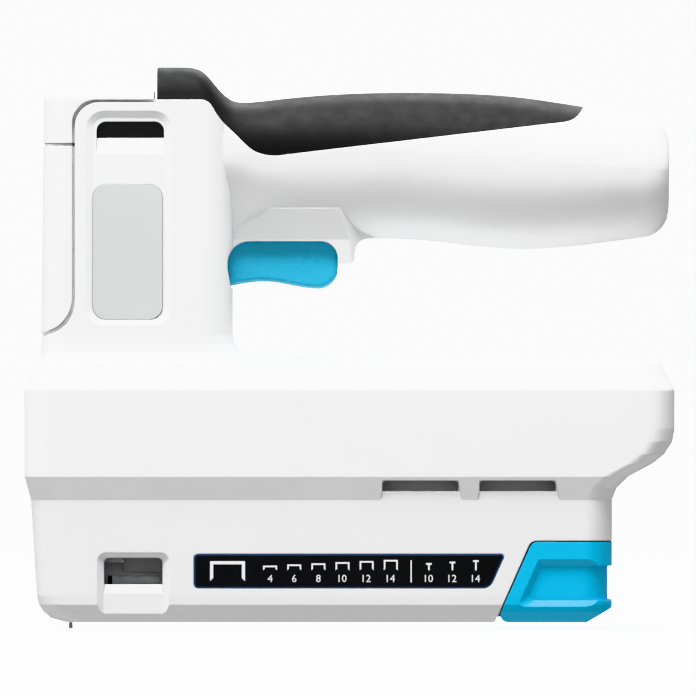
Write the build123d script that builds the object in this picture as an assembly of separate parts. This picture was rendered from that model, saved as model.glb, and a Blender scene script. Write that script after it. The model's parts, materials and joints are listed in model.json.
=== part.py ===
from build123d import *
import math
import os

# Cordless stapler, in millimetres. X runs from the nose to the rear, Y across, Z up.
# Heights are measured from the sole. Export lifts the part so that the blade tip is at zero.

# Base of the body
BODY_LENGTH = 205.0
BODY_WIDTH = 58.0
DECK_TOP = 83.0
SHOULDER_HEIGHT = 9.6
SHOULDER_INSET = 5.0
LEDGE_TOP = 46.0
LEDGE_HEIGHT = 7.4
LEDGE_INSET = 2.0
KEEL_DRAFT = 2.3
KEEL_SETBACK = 19.7
SOLE_ROUND = 8.5
HEEL_RUN = 8.0
HEEL_RISE = 4.7
BODY_CORNER = 8.0
KEEL_CORNER = 9.5
WALL = 2.5

# Tower that holds the driver
TOWER_SETBACK = 5.2
TOWER_DEPTH = 60.4
TOWER_WIDTH = 43.6
TOWER_CORNER = 9.0
TOWER_LEAN = 0.9
COVER_SPLIT = 16.5
COVER_DEPTH = 9.9
COVER_FOOT = 7.8
FOOT_RADIUS = 7.5
FOOT_SPREAD = 1.9

# Grip
FINGER_GAP = 37.6
GRIP_HEIGHT = 46.5
GRIP_END_SETBACK = 1.6
GRIP_END_ROUND = 9.0
GRIP_END_SQUARE = 0.55
GRIP_HALF_WIDTH = 19.0
NECK_HALF_WIDTH = 18.4
NECK_WALL = 2.6
NECK_SLOPE = 0.312
BLOCK_HALF_WIDTH = 20.0
RUBBER_THICKNESS = 2.6
RUBBER_BLOCK_HEIGHT = 10.3

# Seams and fits
SEAM = 0.9
SEAM_DEPTH = 1.9
SEAM_FRONT_DEPTH = 0.5
SLIDE_GAP = 0.2
RUN_GAP = 0.05
SEAT_GAP = 0.1

# Staple drive
BLADE_PROUD = 2.2
BLADE_THICKNESS = 1.2
BLADE_WIDTH = 10.4
BLADE_SETBACK = 14.4
STROKE = 22.0
RACK_MODULE = 1.5
RACK_TEETH = 6
LIFT_TEETH = 20
LIFT_AXIS_DROP = 19.0
WHEEL_TEETH = 40
PINION_TEETH = 10
OUTPUT_MODULE = 0.8
INPUT_MODULE = 0.7
BACKLASH = 0.12
PRESSURE_ANGLE = math.radians(25)
ADDENDUM = 0.75
DEDENDUM = 1.0
FRAME_SHEET = 1.6
FRAME_HALF_WIDTH = 10.0
FRAME_LENGTH = 19.0
AXLE_RADIUS = 3.0
SHAFT_RADIUS = 2.0
MOTOR_RADIUS = 12.2
MOTOR_LENGTH = 34.0

# Main spring
SPRING_MEAN_RADIUS = 7.0
SPRING_WIRE = 2.0
SPRING_TURNS = 9
SPRING_STUD = 5.0

# Magazine
CHANNEL_HALF_WIDTH = 6.8
CHANNEL_HEIGHT = 18.6
SHEET = 1.2
RAIL_HALF_WIDTH = 4.0
RAIL_HEIGHT = 15.0
RAIL_FOOT = 1.4
RAIL_SHEET = 1.1
PUSHER_LENGTH = 12.0
PUSHER_SPRING_RADIUS = 1.9
PUSHER_SPRING_WIRE = 0.6
PUSHER_SPRING_TURNS = 34
ROD_RADIUS = 1.0
CAP_TOP = 25.4
CAP_LENGTH = 36.6
CAP_SLANT = 0.446
CAP_GAP = 0.4
CAP_FOOT_ROUND = 2.4
LATCH_HALF = 6.1
LATCH_PIN_RADIUS = 1.2

# Trigger and switch
TRIGGER_HALF_WIDTH = 9.0
TRIGGER_LENGTH = 34.8
TRIGGER_PIN_RADIUS = 1.5
TRIGGER_ROUND = 1.6
BOOT_RADIUS = 2.6

# Battery and board
CELL_RADIUS = 9.2
CELL_LENGTH = 65.0
BOARD_THICKNESS = 1.6
BOARD_HALF_WIDTH = 6.0

# Housing screws
SCREW_RADIUS = 1.5
SCREW_HEAD_RADIUS = 2.9
BOSS_RADIUS = 3.6
SCREW_SEAT = 7.0
SCREW_DEPTH = 8.0

# Places that follow from the sizes above
X_FRONT = -BODY_LENGTH / 2
X_REAR = BODY_LENGTH / 2
HALF_WIDTH = BODY_WIDTH / 2
KEEL_REAR = X_REAR - KEEL_SETBACK
LEDGE_FOOT = LEDGE_TOP - LEDGE_HEIGHT
LEDGE_MIDDLE = LEDGE_TOP - LEDGE_HEIGHT / 2
TOWER_FRONT = X_FRONT + TOWER_SETBACK
TOWER_REAR = TOWER_FRONT + TOWER_DEPTH
TOWER_HALF = TOWER_WIDTH / 2
GRIP_Z = DECK_TOP + FINGER_GAP
TOWER_TOP = GRIP_Z + GRIP_HEIGHT + 0.4
GRIP_END = X_REAR - GRIP_END_SETBACK
RUBBER_SEAT = TOWER_TOP - 2.8
RUBBER_FRONT = TOWER_FRONT + 36.6
BLADE_X = X_FRONT + BLADE_SETBACK
LIFT_RADIUS = RACK_MODULE * LIFT_TEETH / 2
FRAME_FRONT = BLADE_X - BLADE_THICKNESS / 2 - SLIDE_GAP - FRAME_SHEET
RACK_X = BLADE_X + 10.1
LIFT_X = RACK_X + LIFT_RADIUS
LIFT_Z = DECK_TOP - LIFT_AXIS_DROP
MID_X = LIFT_X + OUTPUT_MODULE * (WHEEL_TEETH + PINION_TEETH) / 2
MOTOR_X = MID_X + INPUT_MODULE * (WHEEL_TEETH + PINION_TEETH) / 2
FLANGE_OUT = FRAME_HALF_WIDTH + FRAME_SHEET
OUTPUT_Y = (FLANGE_OUT + 0.8, FLANGE_OUT + 4.4)
INPUT_Y = (OUTPUT_Y[1] + 1.0, OUTPUT_Y[1] + 4.5)
GEAR_PLATE_Y = (INPUT_Y[1] + 1.9, INPUT_Y[1] + 3.5)
PLUNGER_BOTTOM = LIFT_Z - STROKE - 4.0
PLUNGER_TOP = LIFT_Z + 26.0
SPRING_X = BLADE_X + 7.6
SPRING_LOW = PLUNGER_TOP + 3.0
SPRING_HIGH = TOWER_TOP - 9.6
NOSE_LOW = CHANNEL_HEIGHT + SEAT_GAP
BUMPER_HEIGHT = 5.0
NOSE_HIGH = PLUNGER_BOTTOM - BUMPER_HEIGHT - SEAT_GAP
NOSE_BACK = BLADE_X + BLADE_THICKNESS / 2 + SLIDE_GAP
CAP_FRONT_TOP = KEEL_REAR - CAP_LENGTH + CAP_SLANT * CAP_TOP
PIVOT_X = TOWER_REAR + 4.9
PIVOT_Z = GRIP_Z + 4.4
TRIGGER_TOP = PIVOT_Z + 4.6
CELL_X = GRIP_END - 14.0
CELL_Z = GRIP_Z + 23.0
BOARD_Z = GRIP_Z + 6.4
NECK_SIDE = TRIGGER_HALF_WIDTH + NECK_WALL
LEFT_HALF = Pos(0, -100, 100) * Box(400, 200, 400)


# Shared shapes

def block(x, y, z):
    """Box between (low, high) pairs."""
    size = [pair[1] - pair[0] for pair in (x, y, z)]
    middle = [(pair[1] + pair[0]) / 2 for pair in (x, y, z)]
    return Pos(*middle) * Box(*size)


def across(sketch, y):
    """Side-view outline in (x, z) carried across the tool between two y values."""
    return extrude(Plane.XZ.offset(-y[1]) * sketch, y[1] - y[0], dir=(0, -1, 0))


def along(section, x):
    """Cross-section in (y, z) carried along the tool between two x values."""
    return extrude(Plane.YZ.offset(x[0]) * section, x[1] - x[0], dir=(1, 0, 0))


def rod_y(x, z, radius, y):
    return across(Pos(x, z) * Circle(radius), y)


def rod_x(y, z, radius, x):
    return along(Pos(y, z) * Circle(radius), x)


def rod_z(x, y, radius, z):
    return extrude(Plane.XY.offset(z[0]) * Pos(x, y) * Circle(radius), z[1] - z[0])


def outline(points, rounds=()):
    """Closed side-view outline; rounds lists (corner number, radius)."""
    shape = Polygon(*points, align=None)
    for number, radius in rounds:
        corner = shape.vertices().sort_by_distance((*points[number], 0))[0]
        shape = fillet(corner, radius)
    return shape


def level_edges(solid, z):
    return [e for e in solid.edges() if e.bounding_box().size.Z < 0.01 and abs(e.center().Z - z) < 0.01]


def both_sides(shape):
    return shape + mirror(shape, about=Plane.XZ)


def stack(levels):
    """Solid through rounded plans (z, front, rear, half width, corner), straight between them."""
    plans = []
    for z, front, rear, side, corner in levels:
        plans.append(Pos((front + rear) / 2, 0, z) * RectangleRounded(rear - front, 2 * side, corner))
    return loft(plans, ruled=True)


def flank(z):
    """Half width of the sloping flats beside the trigger, at a height above the grip's underside."""
    return NECK_SIDE + NECK_SLOPE * z


def egg(x, inset, low, wide, high, side, power, flat=0.0):
    """Rounded cross-section at x, widest at one height; a larger power makes it boxier.

    flat, from 0 to 1, draws the lower sides in to the flats beside the trigger.
    """
    bend = 2 / power
    half = side - inset
    edges = []
    for end in (low + inset, high - inset):
        reach = end - wide
        spots = []
        for step in range(6):
            angle = math.radians(15 * step)
            y = half * math.cos(angle) ** bend
            z = wide + reach * math.sin(angle) ** bend
            if end < wide and step:
                y += flat * min(0, flank(z) + 0.1 - inset * math.hypot(1, NECK_SLOPE) - y)
            spots.append((y, z))
        for hand in (1, -1):
            points = [(hand * y, z) for y, z in spots]
            edges.append(Spline(*points, (0, end), tangents=[(0, reach), (-hand * half, 0)]))
    return Plane.YZ.offset(x) * Pos(0, GRIP_Z) * make_face(edges)


def gear_points(teeth, module, x, z, phase):
    """Outline of a gear with involute flanks, a tooth centred on the phase angle."""
    pitch = module * teeth / 2
    base = pitch * math.cos(PRESSURE_ANGLE)
    tip = pitch + ADDENDUM * module
    root = pitch - DEDENDUM * module
    half_tooth = math.pi / (2 * teeth) - BACKLASH / (2 * pitch)
    half_tooth += math.tan(PRESSURE_ANGLE) - PRESSURE_ANGLE
    radii = [max(base, root) + (tip - max(base, root)) * step / 3 for step in range(4)]
    flank = [(root, half_tooth)] if root < base else []
    for radius in radii:
        pressure = math.acos(min(1.0, base / radius))
        flank.append((radius, half_tooth - math.tan(pressure) + pressure))
    points = []
    for tooth in range(teeth):
        middle = phase + 2 * math.pi * tooth / teeth
        for radius, angle in flank:
            points.append((x + radius * math.cos(middle - angle), z + radius * math.sin(middle - angle)))
        for radius, angle in reversed(flank):
            points.append((x + radius * math.cos(middle + angle), z + radius * math.sin(middle + angle)))
    return points


def biarc(start, start_dir, end, end_dir):
    """Two tangent arcs from one point and direction to another."""
    span = end - start
    total = start_dir + end_dir
    bend = 2 * (1 - start_dir.dot(end_dir))
    slope = span.dot(total)
    reach = (-slope + math.sqrt(slope * slope + bend * span.dot(span))) / bend
    joint = (start + start_dir * reach + end - end_dir * reach) * 0.5
    chord = joint - start
    joint_dir = (chord * (2 * start_dir.dot(chord) / chord.dot(chord)) - start_dir).normalized()
    return [
        TangentArc(start, joint, tangent=start_dir),
        TangentArc(joint, end, tangent=joint_dir),
    ]


def coil(radius, wire, length, turns):
    """Compression spring along Z, one tube on pairs of arcs, a pair to each half turn."""
    rise = (length - wire) / turns
    ends = []
    for number in range(turns * 2 + 1):
        angle = math.pi * number
        spot = Vector(radius * math.cos(angle), radius * math.sin(angle), wire / 2 + rise * number / 2)
        run = Vector(-math.sin(angle), math.cos(angle), rise / (2 * math.pi * radius)).normalized()
        ends.append((spot, run))
    arcs = []
    for start, end in zip(ends, ends[1:]):
        arcs += biarc(*start, *end)
    path = Wire([arc.edge() for arc in arcs])
    marks = [path @ (step / (turns * 16)) for step in range(turns * 16 + 1)]
    gaps = []
    for number, mark in enumerate(marks):
        gaps += [(other - mark).length - wire for other in marks[number + 8:number + 25]]
    print(f"spring of {turns} turns: least gap to itself {min(gaps):.2f} mm")
    section = Plane(path @ 0, z_dir=path % 0) * Circle(wire / 2)
    return sweep(section, path=path)


# Outer forms; inset shrinks a form evenly to make its inside

# Edge of the sole: height, then how far the nose, the sides and the rear are cut back there
SOLE_EDGE = [
    (0.0, SOLE_ROUND, 3.8, 1.5),
    (1.2, 4.15, 2.75, 0.8),
    (3.4, 1.7, 0.8, 0.2),
    (5.6, 0.5, 0.1, 0.0),
    (SOLE_ROUND, 0.0, 0.0, 0.0),
]


def base_form(inset):
    front = X_FRONT + inset
    rear = X_REAR - inset
    keel_rear = KEEL_REAR - inset
    side = HALF_WIDTH - inset
    corner = BODY_CORNER - inset
    shoulder = DECK_TOP - SHOULDER_HEIGHT
    scale = (SOLE_ROUND - inset) / SOLE_ROUND
    levels = []
    for height, nose, flank, tail in SOLE_EDGE:
        z = inset + height * scale
        narrow = LEDGE_INSET + KEEL_DRAFT * (1 - z / LEDGE_FOOT)
        bend = KEEL_CORNER - inset - 0.4 * nose * scale
        plan = (front + narrow + nose * scale, keel_rear - tail * scale, side - narrow - flank * scale)
        levels.append((z, *plan, bend))
    levels += [
        (LEDGE_FOOT, front + LEDGE_INSET, keel_rear, side - LEDGE_INSET, corner),
        (LEDGE_MIDDLE, front + LEDGE_INSET / 2, keel_rear + 1.4, side - LEDGE_INSET / 2, corner),
        (LEDGE_TOP, front, keel_rear + 5.2, side, corner),
        (LEDGE_TOP + 4.0, front, rear - 7.0, side, corner),
        (LEDGE_TOP + 7.0, front, rear - 3.2, side, corner),
        (LEDGE_TOP + 11.0, front, rear - 0.7, side, corner),
        (LEDGE_TOP + 15.0, front, rear, side, corner),
        (shoulder, front, rear, side, corner),
        (DECK_TOP - inset, front + SHOULDER_INSET, rear - SHOULDER_INSET, side - SHOULDER_INSET, corner - 3),
    ]
    solid = stack(levels)
    if inset == 0:
        solid = fillet(level_edges(solid, DECK_TOP), 3.0)
        solid = fillet(level_edges(solid, shoulder), 1.2)
    return solid


def tower_form(inset):
    front = TOWER_FRONT + inset
    rear = TOWER_REAR - inset
    side = TOWER_HALF - inset
    corner = TOWER_CORNER - inset
    levels = [(DECK_TOP - 12.0, front, rear + FOOT_RADIUS, side + FOOT_SPREAD, corner)]
    for angle in (90, 68, 45, 22, 0):
        swell = 1 - math.cos(math.radians(angle))
        height = DECK_TOP + FOOT_RADIUS * (1 - math.sin(math.radians(angle)))
        levels.append((height, front, rear + FOOT_RADIUS * swell, side + FOOT_SPREAD * swell, corner))
    levels.append((TOWER_TOP - inset, front + TOWER_LEAN, rear, side, corner))
    solid = stack(levels)
    if inset == 0:
        solid = fillet(level_edges(solid, TOWER_TOP), 3.0)
    return solid


def grip_form(inset):
    """Rubber block, neck and grip as one run of rounded sections along X."""
    block_top = RUBBER_SEAT + RUBBER_BLOCK_HEIGHT - GRIP_Z
    neck = NECK_HALF_WIDTH
    grip = GRIP_HALF_WIDTH
    stations = [
        (RUBBER_FRONT + inset, -2.0, 26.0, block_top, BLOCK_HALF_WIDTH, 5.0),
        (RUBBER_FRONT + inset + 2.2, -2.0, 26.0, block_top, BLOCK_HALF_WIDTH, 5.0),
        (TOWER_REAR - 16.2, -2.0, 26.0, block_top, BLOCK_HALF_WIDTH, 5.0),
        (TOWER_REAR - 12.8, -2.0, 26.0, block_top - 0.2, BLOCK_HALF_WIDTH, 4.8),
        (TOWER_REAR - 10.0, -2.0, 26.0, block_top - 1.1, BLOCK_HALF_WIDTH, 4.6),
        (TOWER_REAR - 5.6, -1.6, 26.0, block_top - 5.5, BLOCK_HALF_WIDTH - 0.2, 3.8, 0.7),
        (TOWER_REAR - 0.6, -1.0, 27.0, GRIP_HEIGHT - 2.3, BLOCK_HALF_WIDTH - 0.6, 3.0, 1.0),
        (TOWER_REAR + 5.4, -0.4, 28.0, GRIP_HEIGHT - 3.1, neck + 0.5, 2.5, 1.0),
        (TOWER_REAR + 14.0, 0.0, 29.0, GRIP_HEIGHT - 2.2, neck + 0.1, 2.2, 1.0),
        (TOWER_REAR + 24.0, 0.1, 29.0, GRIP_HEIGHT - 1.2, neck, 2.1, 1.0),
        (TOWER_REAR + 36.0, 0.1, 28.8, GRIP_HEIGHT - 0.4, neck, 2.05, 0.9),
        (TOWER_REAR + 51.0, 0.3, 28.2, GRIP_HEIGHT, neck, 2.0, 0.2),
        (TOWER_REAR + 70.0, -1.3, 26.8, GRIP_HEIGHT - 0.2, neck + 0.2, 2.0),
        (GRIP_END - 48.0, -3.0, 25.4, GRIP_HEIGHT - 1.4, grip, 2.0),
        (GRIP_END - 33.0, -2.4, 24.0, GRIP_HEIGHT - 3.5, grip, 2.0),
        (GRIP_END - 20.0, -0.9, 23.2, GRIP_HEIGHT - 5.5, grip - 0.3, 2.0),
    ]
    heel = (0.6, 22.4, GRIP_HEIGHT - 7.2)
    heel_half = grip - 1.0
    turn = GRIP_END_ROUND - inset
    turn_start = GRIP_END - GRIP_END_ROUND
    body = [egg(x, inset, *shape) for x, *shape in stations] + [egg(turn_start, inset, *heel, heel_half, 2.0)]
    rings = []
    for angle in (0, 22.5, 45, 67.5, 90):
        slope = math.radians(angle)
        shrink = turn * (1 - math.cos(slope))
        ring_x = turn_start + turn * math.sin(slope)
        rings.append(egg(ring_x, inset + shrink, *heel, heel_half + GRIP_END_SQUARE * shrink, 2.0))
    return loft(body) + loft(rings)


def rubber_zone():
    """Everything above the lower edge of the soft grip, as a block right across the tool."""
    start = (TOWER_REAR - 10.0, RUBBER_SEAT)
    hollow = [
        start,
        (TOWER_REAR - 5.3, RUBBER_SEAT - 4.0),
        (TOWER_REAR + 1.6, RUBBER_SEAT - 11.5),
        (TOWER_REAR + 7.0, RUBBER_SEAT - 16.2),
        (TOWER_REAR + 12.5, RUBBER_SEAT - 17.6),
        (TOWER_REAR + 20.0, RUBBER_SEAT - 16.9),
    ]
    heel = (GRIP_END - 33.2, GRIP_Z + 37.1)
    tip = (GRIP_END - 27.4, GRIP_Z + 48.0)
    run = Vector(heel[0] - hollow[-1][0], heel[1] - hollow[-1][1]).normalized()
    lid = GRIP_Z + 80.0
    edge = Line((RUBBER_FRONT, RUBBER_SEAT), start)
    edge += Spline(*hollow, tangents=[(1, 0), (run.X, run.Y)])
    edge += Line(hollow[-1], heel)
    edge += TangentArc(heel, tip, tangent=(run.X, run.Y))
    edge += Polyline(tip, (tip[0], lid), (RUBBER_FRONT, lid), (RUBBER_FRONT, RUBBER_SEAT))
    return across(make_face(edge), (-40, 40))


def cover_seam(top, grow):
    """Front corner of the tower taken by a cover; the top one or the front one."""
    seam_x = TOWER_FRONT + COVER_DEPTH + grow
    seam_z = TOWER_TOP - COVER_SPLIT
    left = X_FRONT - 10
    if top:
        low = seam_z - grow
        ceiling = RUBBER_SEAT - grow
        back = RUBBER_FRONT - SEAM + grow
        lid = TOWER_TOP + 20
        points = [(left, low), (seam_x, low), (seam_x, ceiling), (back, ceiling), (back, lid), (left, lid)]
        return across(outline(points, [(2, 7.5)]), (-40, 40))
    high = seam_z - SEAM + grow
    foot = DECK_TOP + COVER_FOOT - grow
    corner = (seam_x, foot + 4)
    points = [(left, high), (seam_x, high), corner, (seam_x - COVER_DEPTH, foot), (left, foot - 3)]
    return across(outline(points, [(2, 11.0)]), (-40, 40))


def heel_slope():
    """Wedge cut away under the rear end of the base."""
    points = [(-HEEL_RUN, 0), (HEEL_RUN, 2 * HEEL_RISE), (HEEL_RUN, -2), (-HEEL_RUN, -2)]
    return Pos(KEEL_REAR, 0, 0) * across(outline(points), (-40, 40))


zone = rubber_zone()
base_outer = (base_form(0) - heel_slope()) & LEFT_HALF
tower_outer = tower_form(0) & LEFT_HALF
grip_outer = grip_form(0) & LEFT_HALF
grip_core = grip_form(RUBBER_THICKNESS) & LEFT_HALF
base_inner = base_form(WALL) & LEFT_HALF
tower_inner = tower_form(WALL) & LEFT_HALF
grip_inner = grip_form(WALL) & LEFT_HALF
core_inner = grip_form(RUBBER_THICKNESS + WALL) & LEFT_HALF
zone_floor = Pos(0, 0, -WALL) * zone

white_outer = base_outer + ((tower_outer + grip_outer) - zone) + grip_core
hollow = base_inner + ((tower_inner + grip_inner) - zone_floor) + core_inner
grip_rubber = both_sides((grip_outer & zone) - grip_core)


# Housing: openings, recesses and supports, drawn on the left half and mirrored

CHEEK_RISE = 10.0
CHEEK_DRAFT = 0.1
TRIGGER_FRONT = TOWER_REAR - 1.9
TRIGGER_REAR = TRIGGER_FRONT + TRIGGER_LENGTH + 0.3
TRIGGER_ROOM = TRIGGER_HALF_WIDTH + 0.4
GUARD_TIP = GRIP_Z - 7.6
GUARD_DEPTH = 5.2


def neck_prism(x):
    """Solid between the two cheeks beside the trigger, wider towards the top."""
    low = GUARD_TIP - 2
    high = GRIP_Z + CHEEK_RISE
    drop = GRIP_Z - low
    wall = [(CHEEK_DRAFT * drop - NECK_SIDE, low), (-NECK_SIDE, GRIP_Z), (-flank(CHEEK_RISE), high)]
    return along(outline([(0, low), *wall, (0, high)]), x)


def trigger_cheeks():
    """Box round the trigger, with the guard behind it, drawn in to the grip at the rear."""
    back = TRIGGER_REAR + GUARD_DEPTH
    end = back + 8.0
    front = TRIGGER_FRONT - 2.0
    top = GRIP_Z + CHEEK_RISE
    points = [
        (front, top), (front, GUARD_TIP), (back, GUARD_TIP),
        (back + 0.6, GRIP_Z - 0.4), (end, GRIP_Z + 1), (end, top),
    ]
    shape = across(outline(points, [(2, 1.8), (3, 4.0)]), (-40, 0))
    wide = flank(CHEEK_RISE) + 1.5
    sweep_in = [(back - 8, -wide), (back - 4, -14.0), (back - 1, -11.0), (back + 3, -7.0), (end, -3.0)]
    edge = Spline(*sweep_in) + Polyline(sweep_in[-1], (end, 0), (front, 0), (front, -wide), sweep_in[0])
    plan = extrude(Plane.XY.offset(GUARD_TIP - 1) * make_face(edge), top - GUARD_TIP + 2)
    return shape & neck_prism((front, end)) & plan


def trigger_opening():
    """Cut in the cheeks and the tower's edge; its rim just covers the ends of the trigger."""
    foot = GRIP_Z - 16
    front = TRIGGER_FRONT + 0.3
    top = GRIP_Z - 0.5
    points = [
        (TOWER_REAR + 1, foot), (front + 1.1, foot + 0.7), (front, foot + 6.5),
        (front, top), (TRIGGER_REAR, top), (TRIGGER_REAR, foot),
    ]
    return across(outline(points, [(3, 7.0), (4, 5.4)]), (-40, 0))


def doorway(x, low, top, corner):
    """Side-view outline with its two upper corners rounded."""
    return outline([(x[0], low), (x[0], top), (x[1], top), (x[1], low)], [(1, corner), (2, corner)])


def scoop(x, z, surface, depth, through, corner):
    """Slot with a ramp below it: z is (ramp foot, slot bottom, slot top) on a wall at y = -surface."""
    points = [
        (-surface - 3, z[0]), (-surface - 3, z[2]), (-through, z[2]), (-through, z[1]),
        (-surface + depth, z[1]), (-surface - 0.2, z[0]),
    ]
    return along(outline(points), x) & across(doorway(x, z[0] - 1, z[2], corner), (-40, 0))


PANEL_X = (TOWER_FRONT + 14.1, TOWER_FRONT + 41.5)
PANEL_Z = (DECK_TOP + 10.6, TOWER_TOP - 6.2)
PANEL_DEPTH = 0.9
BADGE_X = (TOWER_FRONT + 16.3, TOWER_FRONT + 38.4)
BADGE_Z = (DECK_TOP + 12.4, DECK_TOP + 55.0)
BADGE_DEPTH = 0.7
HEAD_SLOT_X = (TOWER_FRONT + 17.6, TOWER_FRONT + 38.9)
HEAD_SLOT_Z = (TOWER_TOP - 23.8, TOWER_TOP - 14.9, TOWER_TOP - 9.7)
HEAD_SLOT_CORNER = 3.0
SLOT_BACK = -TOWER_HALF + 7.0
WINDOW_X = (X_FRONT + 25.2, X_FRONT + 43.6)
WINDOW_Z = (2.4, 12.0, 20.4)
WINDOW_CORNER = 1.6
RAMP_DEPTH = 2.3
VENT_LENGTH = 24.0
VENT_FRONTS = (10.3, 40.9)
VENT_Z = (LEDGE_FOOT + 2.8, LEDGE_FOOT + 6.2)
LABEL_DEPTH = 0.4


def panel_recess():
    """Shallow panel with sloping edges on the tower's side."""
    middle = ((PANEL_X[0] + PANEL_X[1]) / 2, (PANEL_Z[0] + PANEL_Z[1]) / 2)
    size = (PANEL_X[1] - PANEL_X[0], PANEL_Z[1] - PANEL_Z[0])
    faces = []
    for grow, y in ((0.0, -TOWER_HALF), (-2.4, -TOWER_HALF + PANEL_DEPTH)):
        shape = RectangleRounded(size[0] + 2 * grow, size[1] + 2 * grow, 6.0 + grow)
        faces.append(Plane.XZ.offset(-y) * Pos(*middle) * shape)
    lid = extrude(faces[0], 3, dir=(0, -1, 0))
    return loft(faces, ruled=True) + lid


def badge_outline(grow):
    size = (BADGE_X[1] - BADGE_X[0] + 2 * grow, BADGE_Z[1] - BADGE_Z[0] + 2 * grow)
    return Pos(sum(BADGE_X) / 2, sum(BADGE_Z) / 2) * RectangleRounded(*size, 4.4 + grow)


def label_outline(grow):
    low = 10.8 - grow
    high = 21.6 + grow
    front = X_FRONT + 53.5 - grow
    rear = X_FRONT + 151.6 + grow
    points = [(front, low), (front, high), (rear, high), (rear - CAP_SLANT * (high - low), low)]
    return outline(points, [(0, 1.5), (1, 1.5), (2, 1.0), (3, 3.6)])


def keel_side(z):
    """Half width of the keel's sloping wall, carried on upwards."""
    return HALF_WIDTH - LEDGE_INSET - KEEL_DRAFT * (LEDGE_FOOT - z) / LEDGE_FOOT


def keel_plane(depth):
    """Plane that lies the given depth inside the keel's left wall, with its Y up the wall."""
    lean = math.atan2(KEEL_DRAFT, LEDGE_FOOT)
    wall = Plane((0, -keel_side(0), 0), x_dir=(1, 0, 0), z_dir=(0, -math.cos(lean), -math.sin(lean)))
    return wall.offset(-depth)


def sunk(outer, inner, depth):
    """Hollow in the keel's wall, with sloping edges between two outlines."""
    mouth = keel_plane(0) * outer
    lid = extrude(mouth, 3, dir=tuple(keel_plane(0).z_dir))
    return loft([mouth, keel_plane(depth) * inner], ruled=True) + lid


def window_frame():
    """Sloping frame round the staple window, open at the sole."""
    faces = []
    for grow, corner in ((2.2, 2.8), (0.3, WINDOW_CORNER + 0.3)):
        x = (WINDOW_X[0] - grow, WINDOW_X[1] + grow)
        faces.append(doorway(x, -8, WINDOW_Z[2] + 0.8 * grow, corner))
    return sunk(*faces, 1.4)


def vent_cut(front):
    """Slot under the ledge, with an apron below it cut back to the keel's wall."""
    rear = front + VENT_LENGTH
    low, high = VENT_Z
    points = [(front, low), (front, high), (rear, high), (rear, low)]
    slot = across(outline(points, [(1, 1.4), (2, 1.4)]), (-40, -keel_side(low) + WALL + 1))
    foot = LEDGE_FOOT - 0.5
    points = [(front, low), (front, high), (rear, high), (rear + 1.2, foot), (front - 0.6, foot)]
    apron = across(outline(points), (-40, 0))
    bottom = foot - 5
    top = high + 5
    wall = outline([(0, bottom), (-keel_side(bottom), bottom), (-keel_side(top), top), (0, top)])
    return slot + (apron - along(wall, (front - 5, rear + 5)))


def cap_outline(grow, low=-5.0, foot=0.0):
    """Side view of the magazine's end cap; grow widens it into the housing's cut-out."""
    front_low = CAP_FRONT_TOP - CAP_SLANT * (CAP_TOP - low)
    top = CAP_TOP + grow
    points = [(CAP_FRONT_TOP - grow, top), (X_REAR, top), (X_REAR, low), (front_low - grow, low)]
    return outline(points, [(0, 2.5 + grow), (3, foot)] if foot else [(0, 2.5 + grow)])


SCREW_SPOTS = [
    (X_REAR - 9.0, LEDGE_TOP + 19.0),
    (KEEL_REAR - 18.0, LEDGE_TOP + 14.0),
    (MOTOR_X + 21.5, LIFT_Z),
    (KEEL_REAR - 17.0, CAP_TOP + 7.8),
    (MID_X, CHANNEL_HEIGHT + 12.6),
    (TOWER_REAR - 9.6, GRIP_Z + 14.0),
    (TOWER_REAR + 54.0, GRIP_Z + 7.2),
    (GRIP_END - 7.8, GRIP_Z + 28.6),
]
BAFFLE_Y = -18.5
BAFFLE_X = (VENT_FRONTS[0] - 2.0, VENT_FRONTS[1] + VENT_LENGTH + 2.0)
BAFFLE_Z = (VENT_Z[0] - 1.6, VENT_Z[1] + 3.0)
CONTROL_BOARD_X = (MOTOR_X + 33.5, MOTOR_X + 81.0)
CONTROL_BOARD_Y = (-10.0, -10.0 + BOARD_THICKNESS)
CONTROL_BOARD_Z = (LEDGE_TOP + 3.5, DECK_TOP - 9.0)
SWITCH_X = (TOWER_REAR + 24.0, TOWER_REAR + 48.0)
SWITCH_Z = (GRIP_Z + 16.4, GRIP_Z + 28.4)
SWITCH_HALF = 7.0
PEG_SPOTS = [(SWITCH_X[0] + 12.0, SWITCH_Z[0] + 9.0), (SWITCH_X[1] - 4.0, SWITCH_Z[0] + 4.0)]
PEG_RADIUS = 1.4
PERCH_X = TOWER_REAR + 18.5
PERCH_Z = GRIP_Z + 15.4
FRAME_PADS = [(BLADE_X + 9.0, GRIP_Z + 9.0), (BLADE_X + 6.5, CHANNEL_HEIGHT + 9.0)]
CHANNEL_RIBS = (X_FRONT + 62.0, X_FRONT + 100.0, X_FRONT + 138.0)
CELL_RIBS = (CELL_X - CELL_LENGTH + 8.0, CELL_X - 8.0)


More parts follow.
